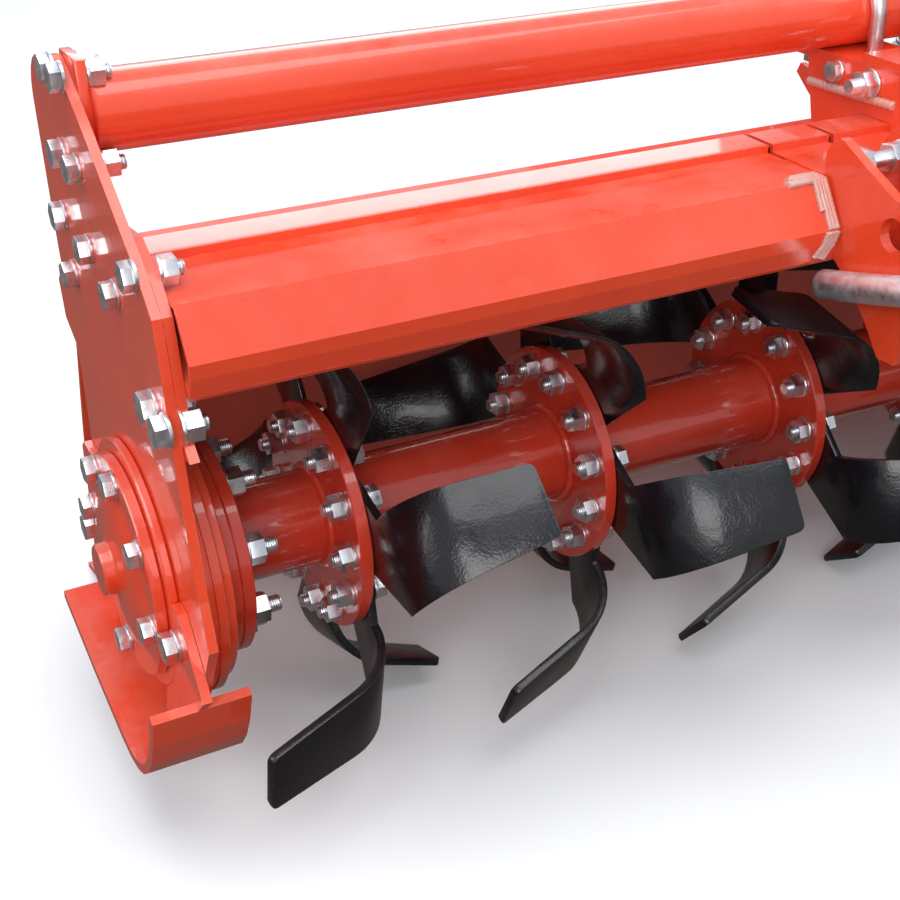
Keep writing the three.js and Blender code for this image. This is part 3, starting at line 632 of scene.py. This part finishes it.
def makeBladeBolts(number):
    near = flange["first"] + flange["pitch"] * number
    far = near + flange["thickness"] + blade["thickness"]
    places = []
    for index in range(flange["bolts"]):
        angle = math.radians(
            flange["boltAngle"] + flange["phase"] * number + 360 / flange["bolts"] * index
        )
        y, z = onCircle(flange["boltCircle"], angle)
        places += [(nutM14, (near, y, z), (-1, 0, 0)), (headM14, (far, y, z), (1, 0, 0))]
    boltGroup("blade_bolts_%d" % (number + 1), "rotor", places)


for number in range(flange["count"]):
    makeDisc(number)
    makeBlades(number)
    makeBladeBolts(number)

rotorTube = {
    "radius": 44.5, "bore": 35.5, "end": 980.0, "flange": 100.0, "flangeStart": 969.0, "bolts": 8,
    "boltCircle": 80.0,
}
stub = {"near": 980.3, "far": 991.3, "shaft": 30, "tip": 1043}


def makeRotorTube():
    r, rim = rotorTube["radius"], rotorTube["flange"]
    start, end = rotorTube["flangeStart"], rotorTube["end"]
    half = [
        (r, 0), (r, start - 7), (r + 1.5, start - 3), (r + 6, start), (rim - 1, start),
        (rim, start + 1), (rim, end - 1), (rim - 1, end), (rotorTube["bore"], end),
    ]
    mirror = [(radius, -x) for radius, x in half[1:]][::-1]
    bm = bmesh.new()
    turn(bm, mirror + half + [mirror[0]], segments=128)
    finishPiece("rotor_tube_fine", bm, rotorPaint, "rotor", ["rotor_tube"])


def makeDiscWelds():
    bm = bmesh.new()
    for number in range(flange["count"]):
        near = flange["first"] + flange["pitch"] * number
        for x in (near - 2, near + flange["thickness"] + 2):
            ring = circlePoints(x, rotorTube["radius"] + 2, 40)
            weldBead(bm, ring, 3.6, ripple=4.5, closed=True)
    finishPiece("disc_welds", bm, rotorPaint, "rotor", sharp=70)


def makeEndBolts():
    places = []
    for side in (-1, 1):
        for index in range(rotorTube["bolts"]):
            angle = math.tau * (index + 0.5) / rotorTube["bolts"]
            y, z = onCircle(rotorTube["boltCircle"], angle)
            places.append((nutM16, (side * rotorTube["flangeStart"], y, z), (-side, 0, 0)))
    boltGroup("rotor_end_bolts", "rotor", places)


def makeStub(side):
    rim = rotorTube["flange"]
    near, far, shaft, tip = stub["near"], stub["far"], stub["shaft"], stub["tip"]
    profile = [
        (0, near), (rim - 1, near), (rim, near + 1), (rim, far - 1), (rim - 1, far),
        (shaft + 6, far), (shaft, far + 4.7), (shaft, tip - 1), (shaft - 1, tip), (0, tip),
    ]
    bm = bmesh.new()
    turn(bm, [(radius, side * x) for radius, x in profile], segments=96)
    end = sideName(side)
    finishPiece("rotor_stub_fine_" + end, bm, rotorPaint, "rotor", ["rotor_stub_" + end])


makeRotorTube()
makeDiscWelds()
makeEndBolts()
for side in (-1, 1):
    makeStub(side)
print("rotor made")


# Side plates, bearings and tubes

# The seal ring has a joint line round it and a step towards the rotor.
def makeSeal(side):
    profile = [
        (30.8, 1028.7), (126, 1028.7), (127, 1027.7), (127, 1014), (125.4, 1012.8), (125.4, 1011.8),
        (127, 1010.6), (127, 1003), (125, 1001.4), (119, 1000.6), (118, 999), (118, 993.6),
        (116.6, 992.3), (30.8, 992.3), (30.8, 1028.7),
    ]
    bm = bmesh.new()
    turn(bm, [(radius, side * x) for radius, x in profile], segments=144)
    finishPiece("seal_fine_" + sideName(side), bm, redPaint, "frame", ["bearing_seal_" + sideName(side)])


for side in (-1, 1):
    makeSeal(side)


bearing = {
    "bore": 30.8, "housing": 112.0, "near": 1037.3, "far": 1045.3, "ease": 1.5, "coverFlange": 1055.6,
    "boltCircle": 88.0, "boltAngles": (8, 53, 98, 143, 188, 278),
}


def makeBearing():
    bore, rim, ease = bearing["bore"], bearing["housing"], bearing["ease"]
    near, far = -bearing["near"], -bearing["far"]
    bm = bmesh.new()
    ring = [
        (bore, near), (rim - ease, near), (rim, near - ease), (rim, far + ease), (rim - ease, far),
        (bore, far), (bore, near),
    ]
    turn(bm, ring, segments=144)
    finishPiece("housing_fine", bm, redPaint, "frame", ["bearing_housing_left"])
    bm = bmesh.new()
    outer = [
        (0, -1046), (98.8, -1045.6), (100, -1046.8), (100, -1054.4), (98.8, -1055.6), (81, -1055.6),
        (78, -1056), (70, -1058.8), (62, -1061.4), (50, -1063.4), (37, -1064.6), (28, -1065.4),
        (25, -1066.2), (24, -1067.4), (23.4, -1074.8), (22, -1076.4), (0, -1076.6),
    ]
    turn(bm, outer, segments=144)
    finishPiece("bearing_cover_fine", bm, redPaint, "frame", ["bearing_cover_left"])
    places = []
    for angle in bearing["boltAngles"]:
        y, z = onCircle(bearing["boltCircle"], math.radians(angle))
        places.append((headM14, (-bearing["coverFlange"], y, z), (-1, 0, 0)))
    boltGroup("bearing_cover_bolts", "frame", places)


makeBearing()

mainTube = {
    "y": 78.0, "z": 375.0, "radius": 33.0, "inner": 95.3, "outer": 1028.7, "rim": 65.0,
    "rimThickness": 14.0,
}


def makeMainTube(side):
    y, z, r = mainTube["y"], mainTube["z"], mainTube["radius"]
    near, far = mainTube["inner"], mainTube["outer"]
    rim, thick = mainTube["rim"], mainTube["rimThickness"]
    bm = bmesh.new()
    profile = [
        (27, near), (rim - 1, near), (rim, near + 1), (rim, near + thick - 1), (rim - 1, near + thick),
        (r + 5, near + thick), (r + 1.5, near + thick + 2), (r, near + thick + 6), (r, far - 15),
        (r + 1.5, far - 11), (r + 6, far - 9), (27, far - 9), (27, near),
    ]
    turn(bm, [(radius, side * x) for radius, x in profile], (y, z), 128)
    wide, narrow, high, thickness = 33, 23.76, 47, 9
    outline = [(-wide, -high), (wide, -high), (narrow, high), (-narrow, high)]
    slab(bm, [(y + a, z + b) for a, b in outline], side * (far - thickness), side * far, 1.0)
    finishPiece(
        "main_tube_fine_" + sideName(side), bm, redPaint, "frame", ["main_tube_" + sideName(side)]
    )


for side in (-1, 1):
    makeMainTube(side)

# The side plates' bolts, as y and z. Those under "outside" have a head and no nut.
plateBolts = {
    "tubeFlange": [(95, 409), (64, 409), (98, 339), (50, 340)],
    "through": [(126, 277), (46, 274), (-88, 300)],
    "outside": [(116, 227), (-24, 261)],
    "front": [(-104, 200), (-134, 194)],
    "skid": [(-118, -12), (141, -41)],
}


def makePlateBolts():
    outer, inner, lined, tubeFlange, skid = 1037.0, 1029.0, 1020.7, 1019.7, 1045.3
    places = []
    for y, z in plateBolts["tubeFlange"]:
        places.append((headM14, (-outer, y, z), (-1, 0, 0)))
        for side in (-1, 1):
            places.append((nutM14, (side * tubeFlange, y, z), (-side, 0, 0)))
    for y, z in plateBolts["outside"]:
        places.append((headM14, (-outer, y, z), (-1, 0, 0)))
    for y, z in plateBolts["through"]:
        places.append((headM14, (-outer, y, z), (-1, 0, 0)))
        for side in (-1, 1):
            places.append((nutM14, (side * lined, y, z), (-side, 0, 0)))
    for y, z in plateBolts["front"]:
        for side in (-1, 1):
            places.append((headM16, (side * outer, y, z), (side, 0, 0)))
            places.append((shortNut, (side * inner, y, z), (-side, 0, 0)))
    for y, z in plateBolts["skid"]:
        for side in (-1, 1):
            places.append((headM16, (side * skid, y, z), (side, 0, 0)))
    boltGroup("plate_bolts", "frame", places)


makePlateBolts()


# Hitch, mast and deck

# A round bar along a line of points.
def sweep(bm, points, radius, sides=20):
    path = [Vector(p) for p in points]
    rings = []
    for index, spot in enumerate(path):
        before, after = path[max(0, index - 1)], path[min(len(path) - 1, index + 1)]
        turned = Vector((0, 0, 1)).rotation_difference((after - before).normalized()).to_matrix().to_4x4()
        matrix = Matrix.Translation(spot) @ turned
        ring = bmesh.ops.create_circle(bm, segments=sides, radius=radius, matrix=matrix)["verts"]
        rings.append(ring)
    for first, second in zip(rings, rings[1:]):
        loops = [
            bm.edges.get((ring[i], ring[(i + 1) % sides]))
            for ring in (first, second)
            for i in range(sides)
        ]
        bmesh.ops.bridge_loops(bm, edges=loops)
    for ring in (rings[0], rings[-1]):
        bm.faces.new(ring)


springs = {
    "foot": (345.0, -20.0), "head": (290.0, 235.0), "low": 285.4, "high": 359.0, "radius": 16.5,
    "wire": 3.4, "turns": 7.5, "stepsPerTurn": 20, "offset": 60.0,
}


def makeSpring(side):
    foot = Vector((side * springs["offset"], *springs["foot"]))
    head = Vector((side * springs["offset"], *springs["head"]))
    direction = (head - foot).normalized()
    across = Vector((1, 0, 0))
    up = direction.cross(across)
    start = springs["low"] + springs["wire"]
    length = springs["high"] - springs["low"] - 2 * springs["wire"]
    steps = int(springs["turns"] * springs["stepsPerTurn"])
    points = []
    for i in range(steps + 1):
        share = i / steps
        angle = math.tau * springs["turns"] * share
        centre = foot + direction * (start + length * share)
        points.append(centre + (across * math.cos(angle) + up * math.sin(angle)) * springs["radius"])
    bm = bmesh.new()
    sweep(bm, points, springs["wire"], 8)
    name = sideName(side)
    finishPiece("coil_" + name, bm, bareSteel, "spring_rod_" + name, ["rod_spring_" + name], sharp=60)


for side in (-1, 1):
    makeSpring(side)


hitch = {
    "lugs": ((411.0, -1), (354.0, 1)), "lugBolt": (-140, 303), "uBolt": 235.0, "uBoltLeg": 41.3,
    "uBoltFoot": 301.8, "uBoltRadius": 7.9, "saddle": 331.7, "cheek": 275.0, "cheekNut": (-8, 326),
    "cheekHead": (42, 327),
}


def makeHitchBolts():
    places = []
    for side in (-1, 1):
        for x, towards in hitch["lugs"]:
            places.append((nutM16, (side * x, *hitch["lugBolt"]), (side * towards, 0, 0)))
        for s in (-1, 1):
            y = mainTube["y"] + s * hitch["uBoltLeg"]
            places.append((nutM16, (side * hitch["uBolt"], y, hitch["saddle"]), (0, 0, -1)))
        places.append((nutM16, (side * hitch["cheek"], *hitch["cheekNut"]), (side, 0, 0)))
        places.append((headM12, (side * hitch["cheek"], *hitch["cheekHead"]), (side, 0, 0)))
    boltGroup("hitch_bolts", "frame", places)
    x = hitch["cheek"] + 1.0
    runs = [[(s * x, 80, 308), (s * x, -46, 312)] for s in (-1, 1)]
    weldPiece("bracket_welds", "frame", runs, 4.4, weldMetal)


def makeUBolt(side):
    x, y, leg = side * hitch["uBolt"], mainTube["y"], hitch["uBoltLeg"]
    arch = [(x, a, b) for a, b in arcPoints(leg, 0, 180, 32, (y, mainTube["z"]))]
    foot, shoulder = hitch["uBoltFoot"], 340
    line = [(x, y + leg, foot), (x, y + leg, shoulder), *arch, (x, y - leg, shoulder), (x, y - leg, foot)]
    bm = bmesh.new()
    sweep(bm, line, hitch["uBoltRadius"], 20)
    finishPiece("u_bolt_fine_" + sideName(side), bm, zincPlate, "frame", ["u_bolt_" + sideName(side)])


makeHitchBolts()
for side in (-1, 1):
    makeUBolt(side)


# The rough weld between the deck and the hitch lug: along the crease, down the front and under the lip.
def makeDeckWelds():
    end, crease, lip = 424, (-125, 287.3), (-148.3, 248)
    for side in (-1, 1):
        runs = []
        for index in range(5):
            y = -123.5 + 3.6 * index
            far = end + 42 - 3 * index + 4 * math.sin(index * 2.3)
            middle = (side * (end + far) / 2, y + math.sin(index * 4.0), 287.6)
            runs.append([(side * end, y, 287.2), middle, (side * far, y, 287.1)])
        for index in range(4):
            x = end + 3.6 * index
            drop = 0.0 if index < 3 else 0.4
            low = Vector((side * x, *lip)).lerp(Vector((side * (x + 2), *crease)), drop)
            middle = (side * (x + 1 + math.sin(index * 3.0)), -137, 267)
            runs.append([(side * (x + 2), *crease), middle, tuple(low)])
        for index in range(4):
            x = end - 0.5 + 3.4 * index
            bottom = (side * (x + 10), -142.5, 220 + index)
            runs.append([(side * x, lip[0], 247.5), (side * (x + 3), -146.6, 236), bottom])
        weldPiece("deck_weld_" + sideName(side), "frame", runs, 2.7, weldMetal)


makeDeckWelds()
print("hitch made")

gearBolts = {
    "neckFace": -26.3, "neckCircle": 53.0, "rearFace": 158.3, "rearX": (-72, -24, 24, 72),
    "rearZ": (326, 372), "tubeFace": 109.3, "tubeCircle": 52.0,
}


def makeGearBolts():
    tubeCentre = (mainTube["y"], mainTube["z"])
    places = []
    for index in range(6):
        x, z = onCircle(gearBolts["neckCircle"], math.tau * index / 6 + 0.3, (0, mainTube["z"]))
        places.append((headM12, (x, gearBolts["neckFace"], z), (0, -1, 0)))
    for x in gearBolts["rearX"]:
        for z in gearBolts["rearZ"]:
            places.append((headM12, (x, gearBolts["rearFace"], z), (0, 1, 0)))
    for side in (-1, 1):
        for index in range(8):
            y, z = onCircle(gearBolts["tubeCircle"], math.tau * (index + 0.5) / 8, tubeCentre)
            places.append((headM12, (side * gearBolts["tubeFace"], y, z), (side, 0, 0)))
    boltGroup("gearbox_bolts", "frame", places)


makeGearBolts()

sideCase = {"lower": 118.0, "upper": 92.0, "inset": 5.0, "face": 1121.6}


# Bolts round the gear case's cover: on its two arcs and along the straights between them.
def makeCaseBolts():
    centre = Vector((mainTube["y"], mainTube["z"]))
    low, high = sideCase["lower"] - sideCase["inset"], sideCase["upper"] - sideCase["inset"]
    lean = math.atan2(centre.y, centre.x)
    opening = math.acos((low - high) / centre.length)
    places = [onCircle(low, lean + opening + (math.tau - 2 * opening) * i / 6) for i in range(7)]
    places += [onCircle(high, lean - opening + 2 * opening * i / 4, centre) for i in range(5)]
    for s in (-1, 1):
        first = Vector(onCircle(low, lean + s * opening))
        last = Vector(onCircle(high, lean + s * opening, centre))
        places += [tuple(first.lerp(last, share)) for share in (0.25, 0.5, 0.75)]
    spots = [(headM12, (sideCase["face"], y, z), (1, 0, 0)) for y, z in places]
    boltGroup("side_case_bolts", "frame", spots)


makeCaseBolts()

hoopRadius = 13.4
hoop = [
    (435.3, -152, 200), (435.3, -200, 214), (435.3, -262, 234), (417.3, -300, 246), (373.3, -316, 250),
    (150, -316, 250),
]


# The guard hoop's line, a centripetal spline through its points as in the CAD.
def splinePoints(points, steps):
    made = []
    ends = [points[0] * 2 - points[1]] + points + [points[-1] * 2 - points[-2]]
    for p0, p1, p2, p3 in zip(ends, ends[1:], ends[2:], ends[3:]):
        t1 = (p1 - p0).length ** 0.5
        t2 = t1 + (p2 - p1).length ** 0.5
        t3 = t2 + (p3 - p2).length ** 0.5
        for i in range(steps):
            t = t1 + (t2 - t1) * i / steps
            a1 = p0.lerp(p1, t / t1)
            a2 = p1.lerp(p2, (t - t1) / (t2 - t1))
            a3 = p2.lerp(p3, (t - t2) / (t3 - t2))
            b1 = a1.lerp(a2, t / t2)
            b2 = a2.lerp(a3, (t - t1) / (t3 - t1))
            made.append(b1.lerp(b2, (t - t1) / (t2 - t1)))
    return made + [points[-1]]


def makeHoop():
    half = [Vector(p) for p in hoop]
    points = [Vector((-p.x, p.y, p.z)) for p in half] + half[::-1]
    bm = bmesh.new()
    sweep(bm, splinePoints(points, 10), hoopRadius, 28)
    finishPiece("guard_hoop_fine", bm, tubeZinc, "frame", ["guard_hoop"])


makeHoop()
print("details made")


# Camera, floor and light

view = {
    "azimuth": 27.5, "elevation": 29.5, "x": -1277.4, "y": -1056.3, "z": 702.0, "sensor": 36.0,
    "lens": 57.328, "shiftX": -0.0066667, "shiftY": 0.0011111, "near": 0.05, "far": 60.0,
}


def makeCamera():
    camera = bpy.data.cameras.new("camera")
    camera.sensor_width = view["sensor"]
    camera.lens = view["lens"]
    camera.shift_x, camera.shift_y = view["shiftX"], view["shiftY"]
    camera.clip_start, camera.clip_end = view["near"], view["far"]
    holder = bpy.data.objects.new("camera", camera)
    bpy.context.scene.collection.objects.link(holder)
    holder.location = place(view["x"], view["y"], view["z"])
    azimuth, elevation = math.radians(view["azimuth"]), math.radians(view["elevation"])
    level = math.cos(elevation)
    forward = Vector((math.sin(azimuth) * level, math.cos(azimuth) * level, -math.sin(elevation)))
    holder.rotation_mode = "QUATERNION"
    holder.rotation_quaternion = forward.to_track_quat("-Z", "Y")
    bpy.context.scene.camera = holder


def makeFloor():
    bm = bmesh.new()
    bmesh.ops.create_grid(bm, x_segments=1, y_segments=1, size=60)
    mesh = bpy.data.meshes.new("floor")
    bm.to_mesh(mesh)
    bm.free()
    floor = bpy.data.objects.new("floor", mesh)
    bpy.context.scene.collection.objects.link(floor)
    material, tree, shader, vector = newMaterial("floor_paper", Roughness=0.75)
    tone = ramp(tree, noise(tree, vector, 2.0), 0.3, 0.7, (0.93, 0.93, 0.93, 1), (0.96, 0.96, 0.96, 1))
    tree.links.new(tone.outputs["Color"], shader.inputs["Base Color"])
    mesh.materials.append(material)
    floor.visible_glossy = False
    floor.visible_diffuse = False


def areaLight(name, spot, target, size, power, color=(1, 1, 1)):
    light = bpy.data.lights.new(name, "AREA")
    light.shape = "RECTANGLE"
    light.size, light.size_y = size
    light.energy = power
    light.color = color
    holder = bpy.data.objects.new(name, light)
    bpy.context.scene.collection.objects.link(holder)
    holder.location = spot
    direction = Vector(target) - Vector(spot)
    holder.rotation_mode = "QUATERNION"
    holder.rotation_quaternion = direction.to_track_quat("-Z", "Y")


def makeLight():
    world = bpy.data.worlds.new("studio")
    bpy.context.scene.world = world
    world.use_nodes = True
    tree = world.node_tree
    back = tree.nodes["Background"]
    direction = tree.nodes.new("ShaderNodeTexCoord").outputs["Generated"]
    height = addNode(tree, "SeparateXYZ", {"Vector": direction}).outputs["Z"]
    sky = ramp(tree, height, 0.0, 0.9, (1.0, 1.0, 1.0, 1), (0.62, 0.72, 0.86, 1))
    ground = ramp(tree, height, -0.02, 0.02, (0.0, 0.0, 0.0, 1), (1, 1, 1, 1))
    tone = mixColor(tree, ground.outputs["Color"], (0.2, 0.17, 0.16, 1), sky.outputs["Color"])
    tree.links.new(tone, back.inputs["Color"])
    back.inputs["Strength"].default_value = 0.7
    areaLight("overhead", (-0.6, -0.6, 3.4), (-0.4, 0, 0.3), (3.4, 2.4), 72)
    areaLight("front", (-2.6, -3.2, 2.2), (-0.5, 0, 0.3), (2.4, 2.0), 72)
    areaLight("end", (-4.2, 0.8, 1.8), (-1.0, 0, 0.35), (1.8, 1.8), 35)
    areaLight("behind", (0.8, 3.6, 2.4), (0, 0, 0.3), (3.0, 1.8), 45)


makeCamera()
makeFloor()
makeLight()
bpy.context.scene.view_settings.view_transform = "Standard"
